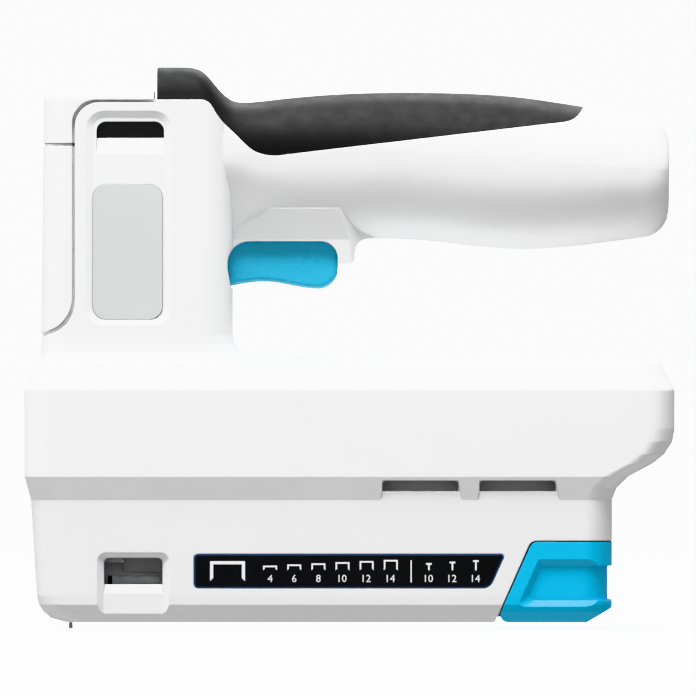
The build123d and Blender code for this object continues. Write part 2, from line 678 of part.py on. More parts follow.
def supports():
    """Ribs, posts and bosses inside the left half, before they are trimmed to the outer form."""
    parts = []
    for x, z in SCREW_SPOTS:
        parts.append(rod_y(x, z, BOSS_RADIUS, (-40, 0)))
    for x, z in FRAME_PADS:
        parts.append(rod_y(x, z, 3.0, (-40, -FLANGE_OUT - SEAT_GAP)))
    for x, z in PEG_SPOTS:
        parts.append(rod_y(x, z, PEG_RADIUS + 1.4, (-30, -SWITCH_HALF - SEAT_GAP)))
        parts.append(rod_y(x, z, PEG_RADIUS, (-30, -1.0)))
    for x in CHANNEL_RIBS:
        parts.append(block((x - 1, x + 1), (-40, -CHANNEL_HALF_WIDTH - SEAT_GAP), (-1, CHANNEL_HEIGHT - 6)))
    for x in CELL_RIBS:
        rib = block((x - 1, x + 1), (-40, 0), (GRIP_Z - 10, GRIP_Z + 60))
        rib -= rod_x(0, CELL_Z, CELL_RADIUS + SEAT_GAP, (x - 2, x + 2))
        rib -= block((x - 2, x + 2), (-BOARD_HALF_WIDTH - SEAT_GAP, 1), (BOARD_Z - SEAT_GAP, CELL_Z))
        parts.append(rib)
    board_rib_y = (-40, CONTROL_BOARD_Y[0] - SEAT_GAP)
    board_rib_z = (CONTROL_BOARD_Z[0] + 4, CONTROL_BOARD_Z[1] - 4)
    for x in (CONTROL_BOARD_X[0] + 3, CONTROL_BOARD_X[1] - 3):
        parts.append(block((x - 1.2, x + 1.2), board_rib_y, board_rib_z))
    parts.append(block((PERCH_X - 3.5, PERCH_X + 3.5), (-40, 0), (PERCH_Z, PERCH_Z + 2)))
    parts.append(block(BAFFLE_X, (-40, BAFFLE_Y), (BAFFLE_Z[1] - 1.6, BAFFLE_Z[1])))
    parts.append(block(BAFFLE_X, (BAFFLE_Y - 1.6, BAFFLE_Y), BAFFLE_Z))
    slot_backing_x = (HEAD_SLOT_X[0] - 2, HEAD_SLOT_X[1] + 2)
    parts.append(block(slot_backing_x, (-40, SLOT_BACK), (HEAD_SLOT_Z[0] - 1.5, HEAD_SLOT_Z[1])))
    window_backing_x = (WINDOW_X[0] - 2, WINDOW_X[1] + 2)
    parts.append(block(window_backing_x, (-40, -keel_side(WINDOW_Z[1]) + 8), (-1, WINDOW_Z[1])))
    lintel_x = (FRAME_FRONT + FRAME_LENGTH + SEAT_GAP, window_backing_x[1])
    lintel_y = -CHANNEL_HALF_WIDTH - SEAT_GAP
    lintel_top = WINDOW_Z[2] + 2.2
    parts.append(block(lintel_x, (-40, lintel_y), (lintel_top - 1.6, lintel_top)))
    parts.append(block(lintel_x, (lintel_y - 1.6, lintel_y), (CHANNEL_HEIGHT - 3, lintel_top)))
    return parts


def charge_opening():
    low = BOARD_Z + BOARD_THICKNESS
    return block((GRIP_END - 8, GRIP_END + 2), (-5.0, 0), (low - 0.5, low + 3.7))


white_outer = white_outer + trigger_cheeks()
skin = white_outer - hollow
trigger_room_x = (TRIGGER_FRONT - 0.4, TRIGGER_REAR + 2.8)
skin -= block(trigger_room_x, (-TRIGGER_ROOM, 0), (GRIP_Z - 8, GRIP_Z + 14))
skin -= block((TRIGGER_FRONT - 0.4, TOWER_REAR + 2), (-TRIGGER_ROOM, 0), (GRIP_Z - 16, GRIP_Z))
for support in supports():
    skin += support & white_outer

cuts = [
    trigger_opening(),
    panel_recess(),
    window_frame(),
    across(badge_outline(SEAT_GAP), (-40, -TOWER_HALF + PANEL_DEPTH + BADGE_DEPTH)),
    scoop(HEAD_SLOT_X, HEAD_SLOT_Z, TOWER_HALF, RAMP_DEPTH, 10.0, HEAD_SLOT_CORNER),
    scoop(WINDOW_X, WINDOW_Z, keel_side(WINDOW_Z[1]), RAMP_DEPTH, 12.0, WINDOW_CORNER),
    across(cap_outline(CAP_GAP), (-40, 0)),
    block((FRAME_FRONT - 0.4, CAP_FRONT_TOP), (-CHANNEL_HALF_WIDTH - SLIDE_GAP, 0), (-1, WALL + 2)),
    charge_opening(),
    rod_y(PIVOT_X, PIVOT_Z, TRIGGER_PIN_RADIUS + RUN_GAP, (-TRIGGER_HALF_WIDTH - 2.4, 0)),
]
cuts += [vent_cut(front) for front in VENT_FRONTS]
for cut in cuts:
    skin -= cut

seam_core = Pos(SEAM_FRONT_DEPTH - SEAM_DEPTH, 0, 0) * tower_form(SEAM_DEPTH)
tower_lip = tower_form(WALL) - tower_form(WALL + 1.5)
tower_tongue = tower_form(WALL + SEAT_GAP) - tower_form(WALL + 1.5)


def cover(top):
    """A white cover: its share of the skin, with a tongue behind the seam."""
    own = cover_seam(top, 0)
    seam_z = TOWER_TOP - COVER_SPLIT
    if not top:
        edge = block((X_FRONT, TOWER_FRONT + COVER_DEPTH), (-40, 40), (seam_z - SEAM - 1, seam_z - SEAT_GAP))
        own += edge & seam_core
    shape = both_sides(skin & own) + (tower_lip & own)
    tongue = (tower_tongue & cover_seam(top, 2.6)) - zone_floor
    span = (seam_z, TOWER_TOP) if top else (DECK_TOP, seam_z - SEAM)
    return shape + (tongue & block((X_FRONT, TOWER_REAR), (-40, 40), span))


front_cover = cover(False)
top_cap = cover(True)
seam_foot = seam_core & block((X_FRONT, TOWER_REAR), (-40, 40), (DECK_TOP, DECK_TOP + COVER_FOOT + 6))
front_groove = (cover_seam(False, SEAM) - seam_foot) + cover_seam(False, SEAT_GAP)
left_plain = skin - cover_seam(True, SEAM) - front_groove
right_plain = mirror(left_plain, about=Plane.XZ)

left_shell = left_plain
right_shell = right_plain
screws = []
for x, z in SCREW_SPOTS:
    left_shell -= rod_y(x, z, SCREW_RADIUS, (-SCREW_DEPTH - 1, 1))
    right_shell -= rod_y(x, z, SCREW_RADIUS + SLIDE_GAP, (-1, SCREW_SEAT + 1))
    right_shell -= rod_y(x, z, SCREW_HEAD_RADIUS + SLIDE_GAP, (SCREW_SEAT, 60))
    head = rod_y(x, z, SCREW_HEAD_RADIUS, (SCREW_SEAT, SCREW_SEAT + 2.0))
    head -= block((x - 1.6, x + 1.6), (SCREW_SEAT + 1.2, SCREW_SEAT + 3), (z - 0.35, z + 0.35))
    head -= block((x - 0.35, x + 0.35), (SCREW_SEAT + 1.2, SCREW_SEAT + 3), (z - 1.6, z + 1.6))
    screws.append(head + rod_y(x, z, SCREW_RADIUS, (-SCREW_DEPTH, SCREW_SEAT)))

label_floor = base_form(LABEL_DEPTH)
left_shell -= across(label_outline(SEAT_GAP), (-40, 0)) - label_floor
size_label = (across(label_outline(0), (-40, 0)) & base_outer) - label_floor
badge_y = (-TOWER_HALF + PANEL_DEPTH - 0.3, -TOWER_HALF + PANEL_DEPTH + BADGE_DEPTH)
badge_left = across(badge_outline(0), badge_y)
badge_plates = [badge_left, mirror(badge_left, about=Plane.XZ)]
pane_x = (HEAD_SLOT_X[0] - 1, HEAD_SLOT_X[1] + 1)
pane_y = (SLOT_BACK + SEAT_GAP, SLOT_BACK + 2.0)
pane_left = block(pane_x, pane_y, (HEAD_SLOT_Z[1] - 4, HEAD_SLOT_Z[2] + 2))
slot_panes = [pane_left, mirror(pane_left, about=Plane.XZ)]


# Staple driver: frame, plunger, blade, spring and nose

FRAME_BACK = FRAME_FRONT + FRAME_LENGTH
FRAME_TOP = SPRING_HIGH + 5.0
GUIDE_X = BLADE_X + 5.0
GUIDE_Z = PLUNGER_TOP - 6.0
GUIDE_RADIUS = 2.0
HUB_RADIUS = 5.4
LOBE = 13.5
NOSE_PINS = [(BLADE_X + 4.6, NOSE_LOW + 4.0), (BLADE_X + 8.6, NOSE_HIGH - 4.0)]
POST_SPOTS = [
    (LIFT_X - 19.5, LIFT_Z - 9.5),
    (LIFT_X - 19.5, LIFT_Z + 8.0),
    (MOTOR_X + 5.8, LIFT_Z - 10.0),
    (MOTOR_X + 5.0, LIFT_Z + 9.0),
]
MOTOR_SCREW_SPOTS = [(MOTOR_X + 8.0, LIFT_Z), (MOTOR_X, LIFT_Z - 8.0)]


def flange(reach, y):
    """One side of the drive frame, with a lobe that carries gear axles back to x = reach."""
    upright = block((FRAME_FRONT, FRAME_BACK), y, (NOSE_LOW, FRAME_TOP))
    lobe = block((FRAME_BACK - 1, reach), y, (LIFT_Z - LOBE, LIFT_Z + LOBE))
    slot_half = GUIDE_RADIUS + SLIDE_GAP
    slot = rod_y(GUIDE_X, GUIDE_Z, slot_half, y) + rod_y(GUIDE_X, GUIDE_Z + STROKE, slot_half, y)
    slot += block((GUIDE_X - slot_half, GUIDE_X + slot_half), y, (GUIDE_Z, GUIDE_Z + STROKE))
    plate = upright + lobe - slot
    for x, z in NOSE_PINS:
        plate -= rod_y(x, z, 2.0, y)
    return plate


right_y = (FRAME_HALF_WIDTH, FLANGE_OUT)
left_y = (-FLANGE_OUT, -FRAME_HALF_WIDTH)
drive_frame = flange(LIFT_X + 9, left_y) - rod_y(LIFT_X, LIFT_Z, AXLE_RADIUS, left_y)
right_flange = flange(MOTOR_X + 13.5, right_y)
right_flange -= rod_y(LIFT_X, LIFT_Z, HUB_RADIUS + 0.4, right_y)
right_flange -= rod_y(MID_X, LIFT_Z, SHAFT_RADIUS, right_y)
right_flange -= rod_y(MOTOR_X, LIFT_Z, 4.1, right_y)
for x, z in MOTOR_SCREW_SPOTS:
    right_flange -= rod_y(x, z, 1.6, right_y)
drive_frame += right_flange
web_x = (FRAME_FRONT, FRAME_FRONT + FRAME_SHEET)
drive_frame += block(web_x, (-FLANGE_OUT, FLANGE_OUT), (NOSE_LOW, FRAME_TOP))
drive_frame += block(web_x, (-6.6, 6.6), (0.4, NOSE_LOW))

between_flanges = (-FRAME_HALF_WIDTH, FRAME_HALF_WIDTH)
spring_seat = block((web_x[1], FRAME_BACK), between_flanges, (SPRING_HIGH, SPRING_HIGH + 4.5))
spring_seat += rod_z(SPRING_X, 0, SPRING_STUD, (SPRING_HIGH - 4, SPRING_HIGH))

blade_front = BLADE_X - BLADE_THICKNESS / 2
blade_back = BLADE_X + BLADE_THICKNESS / 2
blade_x = (blade_front, blade_back)
HOOK_LOW = PLUNGER_BOTTOM + 10.0
HOOK_HIGH = HOOK_LOW + 4.0
HOOK_HALF = 7.5
BLADE_HALF = BLADE_WIDTH / 2
driver_blade = block(blade_x, (-BLADE_HALF, BLADE_HALF), (-BLADE_PROUD, HOOK_LOW))
driver_blade += block(blade_x, (-HOOK_HALF, HOOK_HALF), (HOOK_LOW, HOOK_HIGH))

rack_root = RACK_X - DEDENDUM * RACK_MODULE
plunger_half = FRAME_HALF_WIDTH - SLIDE_GAP
plunger = block((blade_front, rack_root), (-plunger_half, plunger_half), (PLUNGER_BOTTOM, PLUNGER_TOP))
pocket_x = (blade_front - 1, blade_back + RUN_GAP)
plunger -= block(pocket_x, (-BLADE_HALF - RUN_GAP, BLADE_HALF + RUN_GAP), (PLUNGER_BOTTOM - 1, HOOK_LOW))
plunger -= block(pocket_x, (-HOOK_HALF - RUN_GAP, HOOK_HALF + RUN_GAP), (HOOK_LOW, HOOK_HIGH + RUN_GAP))
rack_pitch = math.pi * RACK_MODULE
rack_tip = RACK_X + ADDENDUM * RACK_MODULE
half_pitch = rack_pitch / 4 - BACKLASH / 2
half_tip = half_pitch - ADDENDUM * RACK_MODULE * math.tan(PRESSURE_ANGLE)
half_root = half_pitch + DEDENDUM * RACK_MODULE * math.tan(PRESSURE_ANGLE)
for tooth in range(RACK_TEETH):
    z = LIFT_Z + rack_pitch / 2 - tooth * rack_pitch
    root_edge = [(rack_root, z - half_root), (rack_root, z + half_root)]
    tip_edge = [(rack_tip, z + half_tip), (rack_tip, z - half_tip)]
    plunger += across(outline(root_edge + tip_edge), (-4.5, 4.5))
plunger -= rod_y(GUIDE_X, GUIDE_Z, GUIDE_RADIUS, (-20, 20))
plunger += rod_z(SPRING_X, 0, SPRING_MEAN_RADIUS + 0.9, (PLUNGER_TOP, SPRING_LOW))
plunger += rod_z(SPRING_X, 0, SPRING_STUD, (SPRING_LOW, SPRING_LOW + 20))
guide_pin = rod_y(GUIDE_X, GUIDE_Z, GUIDE_RADIUS, (-FLANGE_OUT, FLANGE_OUT))

spring_length = SPRING_HIGH - SPRING_LOW
main_spring = coil(SPRING_MEAN_RADIUS, SPRING_WIRE, spring_length, SPRING_TURNS)
main_spring = Pos(SPRING_X, 0, SPRING_LOW) * main_spring

nose_x = (NOSE_BACK, RACK_X + 2)
nose_block = block(nose_x, between_flanges, (NOSE_LOW, NOSE_HIGH))
nose_pins = []
for x, z in NOSE_PINS:
    nose_block -= rod_y(x, z, 2.0, (-20, 20))
    nose_pins.append(rod_y(x, z, 2.0, (-FLANGE_OUT, FLANGE_OUT)))
bumper = block((NOSE_BACK, rack_root), (-9, 9), (NOSE_HIGH, NOSE_HIGH + BUMPER_HEIGHT))


# Gear train and motor

def sector_points():
    """Lifting sector: the first teeth of a full gear, the rest cut back to the root."""
    points = gear_points(LIFT_TEETH, RACK_MODULE, LIFT_X, LIFT_Z, math.pi)
    per_tooth = len(points) // LIFT_TEETH
    kept = points[:(RACK_TEETH + 1) * per_tooth]
    root = LIFT_RADIUS - DEDENDUM * RACK_MODULE
    for step in range(2 * RACK_TEETH + 2, 2 * LIFT_TEETH):
        angle = math.pi + math.pi / LIFT_TEETH * (step - 0.5)
        kept.append((LIFT_X + root * math.cos(angle), LIFT_Z + root * math.sin(angle)))
    return kept


def wheel(teeth, module, x, y):
    """Spur gear at the height of the lifting axis; wheels and pinions are phased to mesh at rest."""
    phase = 0.0 if teeth == WHEEL_TEETH else math.pi - math.pi / PINION_TEETH
    return across(outline(gear_points(teeth, module, x, LIFT_Z, phase)), y)


axle_hole = rod_y(LIFT_X, LIFT_Z, AXLE_RADIUS + RUN_GAP, (-30, 30))
lift_sector = across(outline(sector_points()), (-4, 4))
lift_sector += rod_y(LIFT_X, LIFT_Z, HUB_RADIUS, (-FRAME_HALF_WIDTH + SLIDE_GAP, OUTPUT_Y[1]))
lift_sector -= axle_hole
output_wheel = wheel(WHEEL_TEETH, OUTPUT_MODULE, LIFT_X, OUTPUT_Y)
output_wheel -= rod_y(LIFT_X, LIFT_Z, HUB_RADIUS, (-30, 30))
lift_axle = rod_y(LIFT_X, LIFT_Z, AXLE_RADIUS, (-FLANGE_OUT, GEAR_PLATE_Y[1]))

mid_gear = wheel(WHEEL_TEETH, INPUT_MODULE, MID_X, INPUT_Y)
mid_gear += wheel(PINION_TEETH, OUTPUT_MODULE, MID_X, (OUTPUT_Y[0] - 0.3, INPUT_Y[0]))
mid_gear -= rod_y(MID_X, LIFT_Z, SHAFT_RADIUS + RUN_GAP, (-30, 30))
mid_axle = rod_y(MID_X, LIFT_Z, SHAFT_RADIUS, (FRAME_HALF_WIDTH, GEAR_PLATE_Y[1]))

motor_front = FRAME_HALF_WIDTH
gearhead_back = motor_front - 14.0
motor_back = motor_front - MOTOR_LENGTH
motor_can = rod_y(MOTOR_X, LIFT_Z, MOTOR_RADIUS - 0.6, (motor_back, gearhead_back))
motor_endbell = rod_y(MOTOR_X, LIFT_Z, 5.0, (motor_back - 1.4, motor_back))
TERMINAL_Z = (LIFT_Z - 8.0, LIFT_Z + 8.0)
terminal_x = (MOTOR_X - 1.5, MOTOR_X + 1.5)
terminals = []
for z in TERMINAL_Z:
    terminals.append(block(terminal_x, (motor_back - 2.2, motor_back), (z - 0.4, z + 0.4)))
gearhead = rod_y(MOTOR_X, LIFT_Z, MOTOR_RADIUS, (gearhead_back, motor_front))
gearhead += rod_y(MOTOR_X, LIFT_Z, 4.0, (motor_front, FLANGE_OUT))
gearhead -= rod_y(MOTOR_X, LIFT_Z, SHAFT_RADIUS + RUN_GAP, (motor_front - 8, FLANGE_OUT + 1))
motor_screws = []
for x, z in MOTOR_SCREW_SPOTS:
    gearhead -= rod_y(x, z, SCREW_RADIUS, (motor_front - 6, motor_front + 1))
    stem = rod_y(x, z, SCREW_RADIUS, (motor_front - 5, FLANGE_OUT))
    motor_screws.append(stem + rod_y(x, z, 2.6, (FLANGE_OUT, FLANGE_OUT + 1.8)))
motor_shaft = rod_y(MOTOR_X, LIFT_Z, SHAFT_RADIUS, (motor_front - 7.5, INPUT_Y[1] + 0.6))
motor_pinion = wheel(PINION_TEETH, INPUT_MODULE, MOTOR_X, INPUT_Y)
motor_pinion -= rod_y(MOTOR_X, LIFT_Z, SHAFT_RADIUS, (-30, 30))

gear_plate = block((LIFT_X - 23, MOTOR_X + 8), GEAR_PLATE_Y, (LIFT_Z - 14, LIFT_Z + 11.5))
gear_plate -= rod_y(LIFT_X, LIFT_Z, AXLE_RADIUS, GEAR_PLATE_Y)
gear_plate -= rod_y(MID_X, LIFT_Z, SHAFT_RADIUS, GEAR_PLATE_Y)
gear_posts = [rod_y(x, z, 2.5, (FLANGE_OUT, GEAR_PLATE_Y[0])) for x, z in POST_SPOTS]


# Magazine: fixed channel, sliding rail with its cap, pusher and latch

CHANNEL_END = CAP_FRONT_TOP - 12.0
RAIL_START = NOSE_BACK + 0.3
RAIL_END = KEEL_REAR - 17.0
TONGUE_FRONT = CAP_FRONT_TOP - 4.0
PUSHER_SPRING_Z = 8.2
LATCH_PIN = (KEEL_REAR - 13.0, 2.4)

channel_y = (-CHANNEL_HALF_WIDTH, CHANNEL_HALF_WIDTH)
magazine_channel = block((NOSE_BACK, CHANNEL_END), channel_y, (0.3, CHANNEL_HEIGHT))
inner = CHANNEL_HALF_WIDTH - SHEET
magazine_channel -= block((NOSE_BACK - 1, CHANNEL_END + 1), (-inner, inner), (-1, CHANNEL_HEIGHT - SHEET))
magazine_channel -= block((WINDOW_X[0] + 1, WINDOW_X[1] - 1), (-20, 20), (9.5, 14.5))

rail_core = (-RAIL_HALF_WIDTH + RAIL_SHEET, RAIL_HALF_WIDTH - RAIL_SHEET)
rail_core_top = RAIL_HEIGHT - RAIL_SHEET
staple_rail = block((RAIL_START, RAIL_END), (-RAIL_HALF_WIDTH, RAIL_HALF_WIDTH), (RAIL_FOOT, RAIL_HEIGHT))
staple_rail -= block((RAIL_START - 1, RAIL_END + 1), rail_core, (-1, rail_core_top))
staple_rail -= block((RAIL_START - 1, TONGUE_FRONT - 3), (-1.2, 1.2), (RAIL_HEIGHT - 3, RAIL_HEIGHT + 1))

pusher_x = (RAIL_START, RAIL_START + PUSHER_LENGTH)
pusher_past = (pusher_x[0] - 1, pusher_x[1] + 1)
pusher_inner = RAIL_HALF_WIDTH + SLIDE_GAP
pusher_outer = inner - SLIDE_GAP
pusher_top = CHANNEL_HEIGHT - SHEET - SLIDE_GAP
staple_pusher = block(pusher_x, (-pusher_outer, pusher_outer), (4, pusher_top))
staple_pusher -= block(pusher_past, (-pusher_inner, pusher_inner), (0, RAIL_HEIGHT + SLIDE_GAP))
staple_pusher += block((pusher_x[1] - 3, pusher_x[1]), (-0.9, 0.9), (PUSHER_SPRING_Z - 2, RAIL_HEIGHT + 1))
staple_pusher += rod_x(0, PUSHER_SPRING_Z, 2.4, (pusher_x[1] - 3, pusher_x[1]))
staple_pusher -= rod_x(0, PUSHER_SPRING_Z, ROD_RADIUS + SLIDE_GAP, pusher_past)

spring_x = (pusher_x[1] + SEAT_GAP, TONGUE_FRONT - SEAT_GAP)
spring_run = spring_x[1] - spring_x[0]
pusher_spring = coil(PUSHER_SPRING_RADIUS, PUSHER_SPRING_WIRE, spring_run, PUSHER_SPRING_TURNS)
pusher_spring = Pos(spring_x[0], 0, PUSHER_SPRING_Z) * Rot(0, 90, 0) * pusher_spring
spring_rod = rod_x(0, PUSHER_SPRING_Z, ROD_RADIUS, (RAIL_START + 1, TONGUE_FRONT + 8))

cap_body = both_sides(across(cap_outline(0, 0.0, CAP_FOOT_ROUND), (-40, 0)) & base_outer)
cap_room = base_form(WALL) & across(cap_outline(3), (-40, 40))
cap_room &= block((0, KEEL_REAR - 6), (-40, 40), (0, CAP_TOP - WALL))
tongue = block((TONGUE_FRONT, KEEL_REAR - 5.6), (-8, 8), (RAIL_FOOT, CHANNEL_HEIGHT - 1))
tongue &= across(cap_outline(0), (-40, 40))
groove_faces = []
for front, top, low in ((4.4, 20.0, 4.5), (6.6, 17.8, 6.9)):
    edge_top = CAP_FRONT_TOP + front - CAP_SLANT * (CAP_TOP - top)
    edge_low = CAP_FRONT_TOP + front - CAP_SLANT * (CAP_TOP - low)
    points = [(edge_top, top), (X_REAR, top), (X_REAR, low), (edge_low, low)]
    groove_faces.append(outline(points, [(0, 1.5), (3, 1.5)]))
groove = both_sides(sunk(*groove_faces, 1.4))
groove += across(groove_faces[1], (-40, 40)) - base_form(1.4)
magazine_cap = cap_body - cap_room + tongue - groove
magazine_cap -= block((TONGUE_FRONT - 1, RAIL_END), (-RAIL_HALF_WIDTH, RAIL_HALF_WIDTH), (-1, RAIL_HEIGHT))
channel_room_x = (CHANNEL_END - 20, TONGUE_FRONT)
channel_room = CHANNEL_HALF_WIDTH + CAP_GAP
magazine_cap -= block(channel_room_x, (-channel_room, channel_room), (-1, CHANNEL_HEIGHT + CAP_GAP))
magazine_cap += block((TONGUE_FRONT, RAIL_END + 1), rail_core, (RAIL_FOOT, rail_core_top))
magazine_cap -= rod_x(0, PUSHER_SPRING_Z, ROD_RADIUS, (TONGUE_FRONT - 1, TONGUE_FRONT + 8))
magazine_cap -= block((LATCH_PIN[0] - 3.6, X_REAR), (-LATCH_HALF - 0.3, LATCH_HALF + 0.3), (-1, 5.8))
magazine_cap -= rod_y(*LATCH_PIN, LATCH_PIN_RADIUS, (-8.4, 8.4))
latch_front = LATCH_PIN[0] - 3.0
latch_back = LATCH_PIN[0] + 9.0
latch_points = [
    (latch_front, 0.9), (latch_back - 3.6, 0.9), (latch_back, 2.6), (latch_back, 4.2), (latch_front, 4.2),
]
latch_lever = across(outline(latch_points, [(1, 1.0), (2, 0.8)]), (-LATCH_HALF, LATCH_HALF))
latch_lever -= rod_y(*LATCH_PIN, LATCH_PIN_RADIUS + RUN_GAP, (-10, 10))
latch_pin = rod_y(*LATCH_PIN, LATCH_PIN_RADIUS, (-8.2, 8.2))


# Trigger and switch

def trigger_shape():
    foot = GRIP_Z - 14.7
    front = TRIGGER_FRONT
    low = [(front + 1.2, foot), (front + 13.6, foot + 1.4), (front + 29.2, foot - 0.8)]
    heel = (front + TRIGGER_LENGTH + 0.2, foot + 4.0)
    back = (front + TRIGGER_LENGTH + 0.6, foot + 9.0)
    top = TRIGGER_TOP
    edge = Spline(*low, tangents=[(1, 0.25), (1, -0.02)])
    edge += ThreePointArc(low[-1], (low[-1][0] + 3.8, low[-1][1] + 1.6), heel)
    edge += Polyline(
        heel, back, (back[0], top - 3.4), (back[0] - 8.0, top - 0.6), (PIVOT_X + 1.5, top),
        (front + 3.0, top - 2.2), (front, GRIP_Z - 1.5), (front, foot + 5.5), low[0],
    )
    body = across(make_face(edge), (-TRIGGER_HALF_WIDTH, TRIGGER_HALF_WIDTH))
    rim = []
    for edge in body.edges():
        box = edge.bounding_box()
        if box.size.Y < 0.01 and box.min.Z < GRIP_Z and box.min.X > front + 1:
            rim.append(edge)
    body = fillet(rim, TRIGGER_ROUND)
    return body - rod_y(PIVOT_X, PIVOT_Z, TRIGGER_PIN_RADIUS + RUN_GAP, (-20, 20))


trigger = trigger_shape()
pin_half = TRIGGER_HALF_WIDTH + 2.3
trigger_pin = rod_y(PIVOT_X, PIVOT_Z, TRIGGER_PIN_RADIUS, (-pin_half, pin_half))
spring_foot = TRIGGER_TOP + 0.1
trigger_spring = Pos(PERCH_X, 0, spring_foot) * coil(2.6, 0.7, PERCH_Z - spring_foot - 0.05, 4)
PLUNGE_X = SWITCH_X[0] + 5.0
trigger_switch = block(SWITCH_X, (-SWITCH_HALF, SWITCH_HALF), SWITCH_Z)
for x, z in PEG_SPOTS:
    trigger_switch -= rod_y(x, z, PEG_RADIUS + RUN_GAP, (-20, 20))
switch_boot = rod_z(PLUNGE_X, 0, BOOT_RADIUS, (TRIGGER_TOP + 0.2, SWITCH_Z[0]))
switch_boot += rod_z(PLUNGE_X, 0, BOOT_RADIUS + 1.2, (SWITCH_Z[0] - 1.5, SWITCH_Z[0]))


# Power: cell, contacts, boards and charge socket

cell_x = (CELL_X - CELL_LENGTH, CELL_X)
battery_cell = rod_x(0, CELL_Z, CELL_RADIUS, cell_x) + rod_x(0, CELL_Z, 3.0, (CELL_X, CELL_X + 1.2))
contact_front = block((cell_x[0] - 0.7, cell_x[0] - 0.1), (-4, 4), (CELL_Z - 7, CELL_Z + 7))
contact_rear = block((CELL_X + 1.3, CELL_X + 1.9), (-4, 4), (CELL_Z - 7, CELL_Z + 5))
battery_contacts = [contact_front, contact_rear]
board_x = (cell_x[0] + 2, GRIP_END - 7.0)
charge_board = block(board_x, (-BOARD_HALF_WIDTH, BOARD_HALF_WIDTH), (BOARD_Z, BOARD_Z + BOARD_THICKNESS))
board_top = BOARD_Z + BOARD_THICKNESS
charge_socket = block((board_x[1] - 6, GRIP_END - 1.0), (-4.5, 4.5), (board_top, board_top + 3.2))
charge_socket -= block((board_x[1] - 1, GRIP_END), (-4.0, 4.0), (board_top + 0.5, board_top + 2.7))
control_board = block(CONTROL_BOARD_X, CONTROL_BOARD_Y, CONTROL_BOARD_Z)
power_y = (CONTROL_BOARD_Y[1], CONTROL_BOARD_Y[1] + 4.4)
power_z = (CONTROL_BOARD_Z[0] + 6, CONTROL_BOARD_Z[0] + 15)
power_transistors = []
for x in (CONTROL_BOARD_X[0] + 12, CONTROL_BOARD_X[0] + 26):
    power_transistors.append(block((x - 5, x + 5), power_y, power_z))


def lead(points, radius, bend):
    """Insulated wire along a route with rounded bends."""
    path = FilletPolyline(*points, radius=bend)
    return sweep(Plane(path @ 0, z_dir=path % 0) * Circle(radius), path=path)


LEAD_RADIUS = 0.9
drop_x = TOWER_REAR - WALL - 1.8
run_z = GRIP_Z + 33.0
ceiling_z = DECK_TOP - WALL - 2.1
board_y = sum(CONTROL_BOARD_Y) / 2
plus_low = CELL_Z - CELL_RADIUS - 1.7
board_end = CONTROL_BOARD_Z[1] + SEAT_GAP
plus_x = CONTROL_BOARD_X[0] + 4
minus_x = CONTROL_BOARD_X[0] + 9
climb_x = cell_x[0] - 4.6
minus_start = cell_x[0] - 0.75 - LEAD_RADIUS
plus_lead = lead([
    (CELL_X + 1.6, -3, CELL_Z - 7.1), (CELL_X + 1.6, -3, plus_low),
    (climb_x, -3, plus_low), (climb_x, -3, run_z),
    (drop_x, -3, run_z), (drop_x, -3, ceiling_z),
    (plus_x, -3, ceiling_z), (plus_x, board_y, ceiling_z), (plus_x, board_y, board_end),
], LEAD_RADIUS, 1.6)
minus_lead = lead([
    (minus_start, 1, CELL_Z + 2), (minus_start, 1, run_z),
    (drop_x, 1, run_z), (drop_x, 1, ceiling_z),
    (minus_x, 1, ceiling_z), (minus_x, board_y, ceiling_z), (minus_x, board_y, board_end),
], LEAD_RADIUS, 1.6)
battery_leads = [plus_lead, minus_lead]
motor_leads = []
for z in TERMINAL_Z:
    wall_y = motor_back - 1.1
    bend_x = CONTROL_BOARD_X[0] - 4
    end_x = CONTROL_BOARD_X[0] - SEAT_GAP
    route = [(MOTOR_X + 1.6, wall_y, z), (bend_x, wall_y, z), (bend_x, board_y, z), (end_x, board_y, z)]
    motor_leads.append(lead(route, 0.7, 1.6))


# Export

NODES = {
    "left_shell": left_shell,
    "right_shell": right_shell,
    "front_cover": front_cover,
    "top_cap": top_cap,
    "grip_rubber": grip_rubber,
    "badge_plates": badge_plates,
    "slot_panes": slot_panes,
    "size_label": size_label,
    "housing_screws": screws,
    "drive_frame": drive_frame,
    "spring_seat": spring_seat,
    "plunger": plunger,
    "driver_blade": driver_blade,
    "guide_pin": guide_pin,
    "main_spring": main_spring,
    "nose_block": nose_block,
    "nose_pins": nose_pins,
    "bumper": bumper,
    "lift_sector": lift_sector,
    "output_wheel": output_wheel,
    "lift_axle": lift_axle,
    "mid_gear": mid_gear,
    "mid_axle": mid_axle,
    "motor_can": motor_can,
    "motor_endbell": motor_endbell,
    "motor_terminals": terminals,
    "gearhead": gearhead,
    "motor_screws": motor_screws,
    "motor_shaft": motor_shaft,
    "motor_pinion": motor_pinion,
    "gear_plate": gear_plate,
    "gear_posts": gear_posts,
    "magazine_channel": magazine_channel,
    "staple_rail": staple_rail,
    "magazine_cap": magazine_cap,
    "staple_pusher": staple_pusher,
    "pusher_spring": pusher_spring,
    "spring_rod": spring_rod,
    "latch_lever": latch_lever,
    "latch_pin": latch_pin,
    "trigger": trigger,
    "trigger_pin": trigger_pin,
    "trigger_spring": trigger_spring,
    "trigger_switch": trigger_switch,
    "switch_boot": switch_boot,
    "battery_cell": battery_cell,
    "battery_contacts": battery_contacts,
    "charge_board": charge_board,
    "charge_socket": charge_socket,
    "control_board": control_board,
    "power_transistors": power_transistors,
    "battery_leads": battery_leads,
    "motor_leads": motor_leads,
}


